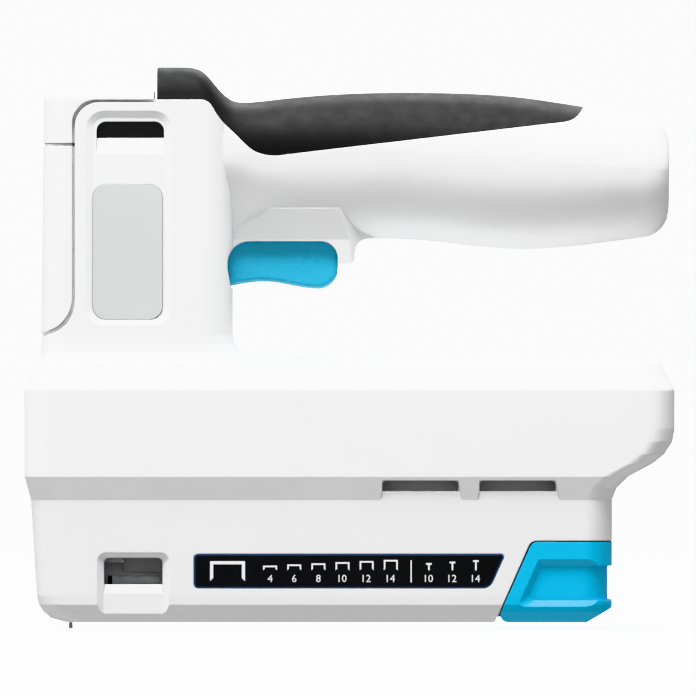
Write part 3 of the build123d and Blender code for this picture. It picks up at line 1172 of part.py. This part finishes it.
def export_node(name, shape):
    """One file for a node, lifted so that the blade tip is at zero; a list is a group of solids."""
    pieces = shape if isinstance(shape, list) else [shape]
    lifted = [Pos(0, 0, BLADE_PROUD) * solid for piece in pieces for solid in piece.solids()]
    export_step(lifted[0] if len(lifted) == 1 else Compound(children=lifted), f"parts/{name}.step")


os.makedirs("parts", exist_ok=True)
for name, shape in NODES.items():
    export_node(name, shape)
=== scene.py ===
import json
import math

import bmesh
import bpy
from mathutils import Matrix, Vector


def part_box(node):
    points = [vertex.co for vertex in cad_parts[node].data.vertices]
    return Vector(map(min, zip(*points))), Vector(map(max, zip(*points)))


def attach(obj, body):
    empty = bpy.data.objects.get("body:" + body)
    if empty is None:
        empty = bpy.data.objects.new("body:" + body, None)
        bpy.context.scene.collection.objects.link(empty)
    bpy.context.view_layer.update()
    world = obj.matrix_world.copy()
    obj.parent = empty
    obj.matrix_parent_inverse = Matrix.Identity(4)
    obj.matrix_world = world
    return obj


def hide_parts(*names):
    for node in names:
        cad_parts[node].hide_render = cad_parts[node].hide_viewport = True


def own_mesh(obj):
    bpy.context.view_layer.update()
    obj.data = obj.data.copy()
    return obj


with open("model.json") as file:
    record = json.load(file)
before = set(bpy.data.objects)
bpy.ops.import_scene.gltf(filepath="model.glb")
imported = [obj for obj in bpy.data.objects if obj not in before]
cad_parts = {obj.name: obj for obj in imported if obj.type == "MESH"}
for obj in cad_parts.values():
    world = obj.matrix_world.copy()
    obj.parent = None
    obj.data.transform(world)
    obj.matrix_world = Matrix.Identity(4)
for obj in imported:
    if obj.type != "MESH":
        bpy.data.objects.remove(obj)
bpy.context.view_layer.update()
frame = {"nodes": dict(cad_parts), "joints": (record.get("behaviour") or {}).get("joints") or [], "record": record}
nodes = frame["nodes"]
scene = bpy.context.scene

MM = 0.001


def set_inputs(node, values):
    for name, value in values.items():
        node.inputs[name].default_value = value


# Camera: level side view through a long lens, framed as the photograph

PHOTO_PIXELS = 696
METRES_PER_PIXEL = 0.315 * MM
PIXEL_CENTRE_X = 349.0
PIXEL_SOLE = 622.0
SOLE_Z = 2.2 * MM
NEAR_PLANE = -0.022
SENSOR = 36.0
CAMERA_DISTANCE = 6.0
CAMERA_HEIGHT = 0.118
CAMERA_CLIP = 20


def make_camera():
    """Level camera on the tool's left; a small shift puts the sole on its pixel row."""
    data = bpy.data.cameras.new("camera")
    camera = bpy.data.objects.new("camera", data)
    scene.collection.objects.link(camera)
    view_width = PHOTO_PIXELS * METRES_PER_PIXEL
    data.sensor_width = SENSOR
    data.lens = SENSOR * CAMERA_DISTANCE / view_width
    middle = (PHOTO_PIXELS - 1) / 2
    camera_x = (middle - PIXEL_CENTRE_X) * METRES_PER_PIXEL
    camera.location = (camera_x, NEAR_PLANE - CAMERA_DISTANCE, CAMERA_HEIGHT)
    camera.rotation_euler = (math.radians(90), 0, 0)
    frame_middle_z = SOLE_Z + (PIXEL_SOLE - middle) * METRES_PER_PIXEL
    data.shift_y = (frame_middle_z - CAMERA_HEIGHT) / view_width
    data.clip_end = CAMERA_CLIP
    scene.camera = camera


# Studio: pale floor, white surroundings and large soft lamps

FLOOR_RADIUS = 9.0
FLOOR_SIDES = 72
PAPER_GLOW = 2.4
PAPER = {
    "Base Color": (0.6, 0.6, 0.6, 1),
    "Roughness": 0.9,
    "Specular IOR Level": 0.1,
    "Emission Color": (1, 1, 1, 1),
    "Emission Strength": PAPER_GLOW,
}
SKY_FADE = {"From Min": -0.4, "From Max": 0.4, "To Min": 0.28, "To Max": 0.65}
FLOOR_FADE = {"From Min": -0.8, "From Max": -0.65, "To Min": 0.80, "To Max": 0.0}
LAMP_TARGET = (0, 0, 0.09)

# Columns: name, place, size, power
LAMPS = (
    ("key", (-0.25, -0.56, 1.62), (0.9, 0.6), 70),
    ("rear_key", (0.25, 1.0, 1.1), (0.9, 0.6), 18),
    ("nose_fill", (-1.3, -0.2, 0.5), (0.7, 0.7), 5),
)


def make_world():
    """A soft sky above and a pale floor below light the tool, in front of plain white."""
    world = bpy.data.worlds.new("studio")
    scene.world = world
    world.use_nodes = True
    tree = world.node_tree
    background = tree.nodes["Background"]
    background.inputs["Color"].default_value = (1, 1, 1, 1)
    place = tree.nodes.new("ShaderNodeTexCoord")
    split = tree.nodes.new("ShaderNodeSeparateXYZ")
    tree.links.new(place.outputs["Generated"], split.inputs["Vector"])
    total = tree.nodes.new("ShaderNodeMath")
    total.operation = "ADD"
    for values, target in zip((SKY_FADE, FLOOR_FADE), total.inputs):
        fade = tree.nodes.new("ShaderNodeMapRange")
        fade.interpolation_type = "SMOOTHSTEP"
        set_inputs(fade, values)
        tree.links.new(split.outputs["Z"], fade.inputs["Value"])
        tree.links.new(fade.outputs["Result"], target)
    path = tree.nodes.new("ShaderNodeLightPath")
    seen = tree.nodes.new("ShaderNodeMix")
    seen.inputs["B"].default_value = PAPER_GLOW
    tree.links.new(path.outputs["Is Camera Ray"], seen.inputs["Factor"])
    tree.links.new(total.outputs["Value"], seen.inputs["A"])
    tree.links.new(seen.outputs["Result"], background.inputs["Strength"])


def make_backdrop():
    """Round level floor, as pale as the surroundings."""
    mesh = bpy.data.meshes.new("backdrop")
    form = bmesh.new()
    bmesh.ops.create_circle(form, cap_ends=True, radius=FLOOR_RADIUS, segments=FLOOR_SIDES)
    form.to_mesh(mesh)
    form.free()
    backdrop = bpy.data.objects.new("backdrop", mesh)
    scene.collection.objects.link(backdrop)
    paper = bpy.data.materials.new("paper")
    paper.use_nodes = True
    set_inputs(paper.node_tree.nodes["Principled BSDF"], PAPER)
    mesh.materials.append(paper)
    backdrop.visible_diffuse = False
    backdrop.visible_glossy = False
    backdrop.visible_shadow = False


def make_lights():
    for name, place, size, power in LAMPS:
        data = bpy.data.lights.new(name, "AREA")
        data.shape = "RECTANGLE"
        data.size, data.size_y = size
        data.energy = power
        lamp = bpy.data.objects.new(name, data)
        scene.collection.objects.link(lamp)
        lamp.location = place
        aim = Vector(LAMP_TARGET) - Vector(place)
        lamp.rotation_euler = aim.to_track_quat("-Z", "Y").to_euler()


# Materials

NOISE_SPAN = (0.3, 0.7)
COLOUR_PATCHES = {"Scale": 45, "Detail": 3}
ROUGH_PATCHES = {"Scale": 260, "Detail": 4}
GRAIN_DETAIL = 2
GRAIN_HEIGHT = 0.05 * MM
EDGE_SAMPLES = 6
SHADER_INPUTS = {"specular": "Specular IOR Level", "metallic": "Metallic"}
FINISHES = {"trigger": "trigger_blue"}


class Surface:
    """Procedural material: colour and roughness that vary a little, grain as bump, softened edges."""

    def __init__(self, name, colour, colour_spread, rough, grain, grain_scale, edge, **values):
        self.name = name
        self.material = bpy.data.materials.new(name)
        self.material.use_nodes = True
        self.tree = self.material.node_tree
        self.shader = self.tree.nodes["Principled BSDF"]
        set_inputs(self.shader, {SHADER_INPUTS[key]: value for key, value in values.items()})
        self.place = self.tree.nodes.new("ShaderNodeTexCoord").outputs["Object"]
        self.vary_colour(colour, colour_spread)
        self.vary_roughness(*rough)
        self.add_grain(grain, grain_scale, edge)

    def link(self, output, target):
        self.tree.links.new(output, target)

    def noise(self, values):
        texture = self.tree.nodes.new("ShaderNodeTexNoise")
        set_inputs(texture, values)
        self.link(self.place, texture.inputs["Vector"])
        return texture.outputs["Fac"]

    def span(self, value, low, high):
        node = self.tree.nodes.new("ShaderNodeMapRange")
        start, end = NOISE_SPAN
        set_inputs(node, {"From Min": start, "From Max": end, "To Min": low, "To Max": high})
        self.link(value, node.inputs["Value"])
        return node.outputs["Result"]

    def vary_colour(self, colour, spread):
        mix = self.tree.nodes.new("ShaderNodeMix")
        mix.data_type = "RGBA"
        low = [max(0.0, part * (1 - spread)) for part in colour]
        high = [min(1.0, part * (1 + spread)) for part in colour]
        set_inputs(mix, {"A": (*low, 1), "B": (*high, 1)})
        self.link(self.span(self.noise(COLOUR_PATCHES), 0, 1), mix.inputs["Factor"])
        self.link(mix.outputs["Result"], self.shader.inputs["Base Color"])

    def vary_roughness(self, low, high):
        self.link(self.span(self.noise(ROUGH_PATCHES), low, high), self.shader.inputs["Roughness"])

    def add_grain(self, depth, scale, edge):
        bump = self.tree.nodes.new("ShaderNodeBump")
        set_inputs(bump, {"Strength": depth, "Distance": GRAIN_HEIGHT})
        self.link(self.noise({"Scale": scale, "Detail": GRAIN_DETAIL}), bump.inputs["Height"])
        if edge:
            bevel = self.tree.nodes.new("ShaderNodeBevel")
            bevel.samples = EDGE_SAMPLES
            bevel.inputs["Radius"].default_value = edge * MM
            self.link(bevel.outputs["Normal"], bump.inputs["Normal"])
        self.link(bump.outputs["Normal"], self.shader.inputs["Normal"])


def make_materials():
    """Columns: name, colour, its spread, roughness, depth and scale of the grain, rounded edge."""
    surfaces = [
        Surface("white_plastic", (0.80, 0.80, 0.80), 0.012, (0.34, 0.44), 0.12, 2600, 0.5, specular=0.45),
        Surface("soft_grip", (0.012, 0.012, 0.0122), 0.04, (0.64, 0.74), 0.35, 2200, 0.4, specular=0.25),
        Surface("badge_grey", (0.52, 0.525, 0.525), 0.015, (0.40, 0.50), 0.2, 3000, 0.3),
        Surface("label_black", (0.012, 0.012, 0.013), 0.08, (0.40, 0.50), 0.08, 3000, 0.1, specular=0.3),
        Surface("blue_plastic", (0.0, 0.47, 0.78), 0.03, (0.26, 0.34), 0.08, 2600, 0.4, specular=0.4),
        Surface("trigger_blue", (0.04, 0.40, 0.61), 0.03, (0.26, 0.34), 0.08, 2600, 0.4, specular=0.4),
        Surface("screw_steel", (0.16, 0.16, 0.17), 0.1, (0.3, 0.45), 0.2, 1800, 0.15, metallic=1.0),
        Surface("sheet_steel", (0.56, 0.57, 0.58), 0.06, (0.28, 0.42), 0.2, 900, 0.1, metallic=1.0),
        Surface("hard_steel", (0.36, 0.36, 0.37), 0.08, (0.25, 0.38), 0.2, 900, 0.1, metallic=1.0),
        Surface("bright_steel", (0.66, 0.67, 0.68), 0.05, (0.16, 0.26), 0.1, 900, 0.1, metallic=1.0),
        Surface("spring_steel", (0.40, 0.40, 0.42), 0.08, (0.25, 0.36), 0.1, 900, 0, metallic=1.0),
        Surface("cast_seat", (0.50, 0.50, 0.51), 0.08, (0.45, 0.6), 0.5, 900, 0.2, metallic=1.0),
        Surface("bumper_rubber", (0.02, 0.02, 0.02), 0.1, (0.6, 0.75), 0.4, 1500, 0.3),
        Surface("motor_metal", (0.60, 0.60, 0.61), 0.05, (0.25, 0.36), 0.15, 900, 0.2, metallic=1.0),
        Surface("black_plastic", (0.018, 0.018, 0.019), 0.1, (0.38, 0.5), 0.3, 2200, 0.2),
        Surface("boot_rubber", (0.016, 0.016, 0.017), 0.1, (0.5, 0.62), 0.3, 1500, 0.3),
        Surface("pane_black", (0.028, 0.028, 0.029), 0.08, (0.10, 0.16), 0.02, 3000, 0.1, specular=0.9),
        Surface("dark_steel", (0.68, 0.68, 0.69), 0.08, (0.34, 0.46), 0.2, 900, 0.1, metallic=0.3),
        Surface("contact_brass", (0.75, 0.52, 0.20), 0.08, (0.25, 0.38), 0.15, 900, 0.1, metallic=1.0),
        Surface("cell_wrap", (0.05, 0.22, 0.10), 0.05, (0.28, 0.36), 0.1, 1200, 0.2),
        Surface("circuit_board", (0.012, 0.16, 0.06), 0.15, (0.35, 0.45), 0.3, 1600, 0.1),
        Surface("socket_metal", (0.62, 0.62, 0.64), 0.05, (0.25, 0.35), 0.1, 900, 0.1, metallic=1.0),
        Surface("lead_insulation", (0.30, 0.015, 0.012), 0.06, (0.4, 0.5), 0.1, 1600, 0),
        Surface("print_white", (0.85, 0.85, 0.85), 0.02, (0.5, 0.6), 0.05, 3000, 0),
        Surface("print_blue", (0.02, 0.06, 0.16), 0.05, (0.4, 0.5), 0.05, 3000, 0),
    ]
    return {surface.name: surface.material for surface in surfaces}


def dress_nodes():
    """Each CAD node takes the material of its slot in the record, or a finish of its own."""
    for part in frame["record"]["subparts"]:
        mesh = nodes[part["node"]].data
        mesh.materials.clear()
        mesh.materials.append(materials[FINISHES.get(part["node"], part["material_slot"])])


# Pieces of the scene

def join_rings(form, rings):
    """Faces between rings of equal length, one of which may be drawn together in a point."""
    sides = len(rings[0])
    for low, high in zip(rings, rings[1:]):
        for side in range(sides):
            after = (side + 1) % sides
            corners = dict.fromkeys((low[side], low[after], high[after], high[side]))
            form.faces.new(list(corners))


def finish_piece(name, form, ink, smooth=True):
    mesh = bpy.data.meshes.new(name)
    bmesh.ops.recalc_face_normals(form, faces=form.faces)
    form.to_mesh(mesh)
    form.free()
    mesh.polygons.foreach_set("use_smooth", [smooth] * len(mesh.polygons))
    piece = bpy.data.objects.new(name, mesh)
    scene.collection.objects.link(piece)
    mesh.materials.append(materials[ink])
    return piece


# Springs, drawn as wire coils in place of their CAD pieces

ALONG_X, ALONG_Z = 0, 2
WIRE_SIDES = 10
TURN_STEPS = 28
TRIGGER_SPRING_KEEP = 0.68

# Columns: node, axis, body, joint, wire in mm, turns, share of the length kept if it isn't the joint's travel
SPRINGS = (
    ("main_spring", ALONG_Z, "housing", "drive", 2.0, 9, None),
    ("pusher_spring", ALONG_X, "magazine", "staple_feed", 0.6, 34, None),
    ("trigger_spring", ALONG_Z, "housing", "trigger_pull", 0.7, 4, TRIGGER_SPRING_KEEP),
)


def helix_piece(name, start, end, radius, wire, turns):
    """Wire spring between two points on its axis."""
    axis = end - start
    turn = Vector((0, 0, 1)).rotation_difference(axis.normalized()).to_matrix()
    steps = turns * TURN_STEPS
    rise = axis.length - wire
    pitch = rise / (2 * math.pi * turns)
    form = bmesh.new()
    rings = []
    for step in range(steps + 1):
        angle = 2 * math.pi * turns * step / steps
        out = Vector((math.cos(angle), math.sin(angle), 0))
        run = Vector((-math.sin(angle) * radius, math.cos(angle) * radius, pitch)).normalized()
        side = run.cross(out)
        middle = out * radius + Vector((0, 0, wire / 2 + rise * step / steps))
        ring = []
        for number in range(WIRE_SIDES):
            around = 2 * math.pi * number / WIRE_SIDES
            offset = (out * math.cos(around) + side * math.sin(around)) * wire / 2
            ring.append(form.verts.new(start + turn @ (middle + offset)))
        rings.append(ring)
    join_rings(form, rings)
    form.faces.new(reversed(rings[0]))
    form.faces.new(rings[-1])
    return finish_piece(name, form, "spring_steel")


def joint_travel(name):
    joint = next(joint for joint in frame["joints"] if joint["name"] == name)
    return joint["range_m"][1]


def make_springs():
    for node, along, body, joint, wire_mm, turns, keep in SPRINGS:
        low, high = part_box(node)
        start = (low + high) / 2
        end = start.copy()
        start[along] = low[along]
        end[along] = high[along]
        across = ALONG_X if along == ALONG_Z else ALONG_Z
        wire = wire_mm * MM
        radius = (high[across] - low[across] - wire) / 2
        spring = helix_piece(node + "_coil", start, end, radius, wire, turns)
        if keep is None:
            keep = 1 - joint_travel(joint) / (high[along] - low[along])
        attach(spring, body)
        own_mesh(spring)
        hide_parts(node)


# Boot of the switch, drawn with ribs in place of its CAD piece

BOOT_STEP = 1.2 * MM
BOOT_RIB = 0.55 * MM
BOOT_RIBS = 3
BOOT_FLANGE = 1.5 * MM
BOOT_EDGE = 0.2 * MM
BOOT_SIDES = 32
RIB_TOP, RIB_ROOT = 0.35, 0.75


def boot_profile(low, high, flange):
    """Half section from the tip of the boot up to its flange, as radius and height."""
    stem = flange - BOOT_STEP
    groove = stem - BOOT_RIB
    foot = high - BOOT_FLANGE
    profile = [(0.0, low), (groove, low), (stem, low + BOOT_RIB)]
    for number in range(BOOT_RIBS):
        for share, radius in ((RIB_TOP, stem), (RIB_ROOT, groove)):
            height = low + BOOT_RIB + (foot - low - 2 * BOOT_RIB) * (number + share) / BOOT_RIBS
            profile.append((radius, height))
    profile += [(stem, foot - BOOT_RIB / 2), (flange - BOOT_EDGE, foot), (flange, foot + BOOT_EDGE)]
    return profile + [(flange, high), (0.0, high)]


def make_switch_boot():
    """Ribbed rubber boot between the trigger and its switch."""
    low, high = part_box("switch_boot")
    middle = (low + high) / 2
    turns = [2 * math.pi * side / BOOT_SIDES for side in range(BOOT_SIDES)]
    form = bmesh.new()
    rings = []
    for radius, z in boot_profile(low.z, high.z, (high.x - low.x) / 2):
        if radius == 0:
            rings.append([form.verts.new((middle.x, middle.y, z))] * BOOT_SIDES)
            continue
        ring = []
        for turn in turns:
            place = (middle.x + radius * math.cos(turn), middle.y + radius * math.sin(turn), z)
            ring.append(form.verts.new(place))
        rings.append(ring)
    join_rings(form, rings)
    boot = finish_piece("switch_boot_ribs", form, "boot_rubber")
    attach(boot, "housing")
    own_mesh(boot)
    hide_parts("switch_boot")


# Print on the label, in millimetres: staples and nails of rising length over plain numbers

LABEL_LEAN = math.atan2(2.3, 38.6)
LABEL_LENGTH = 98.1
LABEL_SLANT = 0.446
LABEL_CORNERS = (1.5, 1.5, 1.0, 3.6)
CORNER_STEPS = 8
EDGE_LINE = (0.03, 0.45)
PRINT_RISE = 0.04 * MM
PRINT_SINK = 0.02 * MM

DIGIT_FOOT = 2.0
DIGIT_HEIGHT = 2.3
DIGIT_STEPS = 3
DIGIT_EXTRUDE = 0.1

LARGE_STAPLE = {"middle": 10.6, "foot": 2.3, "width": 11.0, "legs": 6.3, "stroke": 1.0}
STAPLE_SIZES = (4, 6, 8, 10, 12, 14)
STAPLE_START = 24.0
STAPLE_PITCH = 7.6
STAPLE_FOOT = 5.7
STAPLE_WIDTH = 4.4
STAPLE_LEGS = 1.5
STAPLE_GROWTH = 0.36
STAPLE_STROKE = 0.5

DIVIDER = [(68.2, 1.9), (68.2, 8.9), (68.6, 8.9), (68.6, 1.9)]

NAIL_SIZES = (10, 12, 14)
NAIL_START = 74.0
NAIL_PITCH = 7.4
NAIL_FOOT = 5.5
NAIL_HEAD = 1.8
NAIL_LENGTH = 2.5
NAIL_GROWTH = 0.45
NAIL_STROKE = 0.55


def label_matrix():
    """From places on the label (along, up, out; from its lower front corner) to the frame."""
    low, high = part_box("size_label")
    along = Vector((1, 0, 0))
    up = Vector((0, -math.sin(LABEL_LEAN), math.cos(LABEL_LEAN)))
    matrix = Matrix((along, up, along.cross(up))).transposed().to_4x4()
    matrix.translation = (low.x, low.y + math.tan(LABEL_LEAN) * (high.z - low.z), low.z)
    return matrix


def plate(form, loops):
    """Thin raised print: one outline, or a ring between two outlines of equal length."""
    levels = []
    for height in (-PRINT_SINK, PRINT_RISE):
        levels.append([[form.verts.new((u * MM, v * MM, height)) for u, v in loop] for loop in loops])
    count = len(loops[0])
    for number in range(count):
        after = (number + 1) % count
        for lower, upper in zip(levels[0], levels[1]):
            form.faces.new((lower[number], lower[after], upper[after], upper[number]))
        if len(loops) == 2:
            for outer, inner in levels:
                form.faces.new((outer[number], outer[after], inner[after], inner[number]))
    if len(loops) == 1:
        for level in levels:
            form.faces.new(level[0])


def staple_mark(form, middle, foot, width, legs, stroke):
    left = middle - width / 2
    right = middle + width / 2
    tip = foot + stroke
    top = foot + legs
    plate(form, [[
        (left, foot), (left + stroke, tip), (left + stroke, top - stroke), (right - stroke, top - stroke),
        (right - stroke, tip), (right, foot), (right, top), (left, top),
    ]])


def nail_mark(form, middle, foot, head, length, stroke):
    half = stroke / 2
    tip = foot + stroke
    top = foot + length
    under = top - stroke
    plate(form, [[
        (middle, foot), (middle + half, tip), (middle + half, under), (middle + head / 2, under),
        (middle + head / 2, top), (middle - head / 2, top), (middle - head / 2, under),
        (middle - half, under), (middle - half, tip),
    ]])


def number_mark(form, value, middle):
    """A plain number, centred on a place along the label."""
    data = bpy.data.curves.new("digits", "FONT")
    data.body = str(value)
    data.resolution_u = DIGIT_STEPS
    data.extrude = DIGIT_EXTRUDE
    digits = bpy.data.objects.new("digits", data)
    mesh = bpy.data.meshes.new_from_object(digits)
    xs = [vertex.co.x for vertex in mesh.vertices]
    ys = [vertex.co.y for vertex in mesh.vertices]
    size = DIGIT_HEIGHT * MM / (max(ys) - min(ys))
    for vertex in mesh.vertices:
        x = middle * MM + (vertex.co.x - (min(xs) + max(xs)) / 2) * size
        y = DIGIT_FOOT * MM + (vertex.co.y - min(ys)) * size
        vertex.co = (x, y, PRINT_RISE if vertex.co.z > 0 else -PRINT_SINK)
    form.from_mesh(mesh)
    bpy.data.objects.remove(digits)
    bpy.data.curves.remove(data)
    bpy.data.meshes.remove(mesh)


def rounded_loop(corners, radii, inset):
    """Outline through rounded corners, moved in by an inset; corners run clockwise."""
    points = [Vector(corner) for corner in corners]
    count = len(points)
    runs = [(points[(number + 1) % count] - points[number]).normalized() for number in range(count)]
    loop = []
    for number, corner in enumerate(points):
        before = runs[number - 1]
        after = runs[number]
        turn = math.acos(max(-1, min(1, before.dot(after))))
        inward = Vector((before.y, -before.x)) + Vector((after.y, -after.x))
        inward = inward.normalized() / math.cos(turn / 2)
        centre = corner + inward * radii[number]
        reach = radii[number] - inset
        start = math.atan2(before.x, -before.y)
        for step in range(CORNER_STEPS + 1):
            angle = start - turn * step / CORNER_STEPS
            loop.append((centre.x + reach * math.cos(angle), centre.y + reach * math.sin(angle)))
    return loop


def print_piece(name, form, ink):
    form.transform(label_matrix())
    piece = finish_piece(name, form, ink, smooth=False)
    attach(piece, "housing")


def make_label_print():
    marks = bmesh.new()
    staple_mark(marks, **LARGE_STAPLE)
    for number, value in enumerate(STAPLE_SIZES):
        middle = STAPLE_START + STAPLE_PITCH * number
        legs = STAPLE_LEGS + STAPLE_GROWTH * number
        staple_mark(marks, middle, STAPLE_FOOT, STAPLE_WIDTH, legs, STAPLE_STROKE)
        number_mark(marks, value, middle)
    plate(marks, [DIVIDER])
    for number, value in enumerate(NAIL_SIZES):
        middle = NAIL_START + NAIL_PITCH * number
        length = NAIL_LENGTH + NAIL_GROWTH * number
        nail_mark(marks, middle, NAIL_FOOT, NAIL_HEAD, length, NAIL_STROKE)
        number_mark(marks, value, middle)
    print_piece("label_marks", marks, "print_white")
    low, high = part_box("size_label")
    height = (high.z - low.z) / MM / math.cos(LABEL_LEAN)
    corners = [(0, 0), (0, height), (LABEL_LENGTH, height), (LABEL_LENGTH - LABEL_SLANT * height, 0)]
    edge = bmesh.new()
    plate(edge, [rounded_loop(corners, LABEL_CORNERS, inset) for inset in EDGE_LINE])
    print_piece("label_edge", edge, "print_blue")


make_camera()
make_world()
make_backdrop()
make_lights()
materials = make_materials()
dress_nodes()
make_springs()
make_switch_boot()
make_label_print()
scene.view_settings.view_transform = "Khronos PBR Neutral"
scene.view_settings.look = "None"
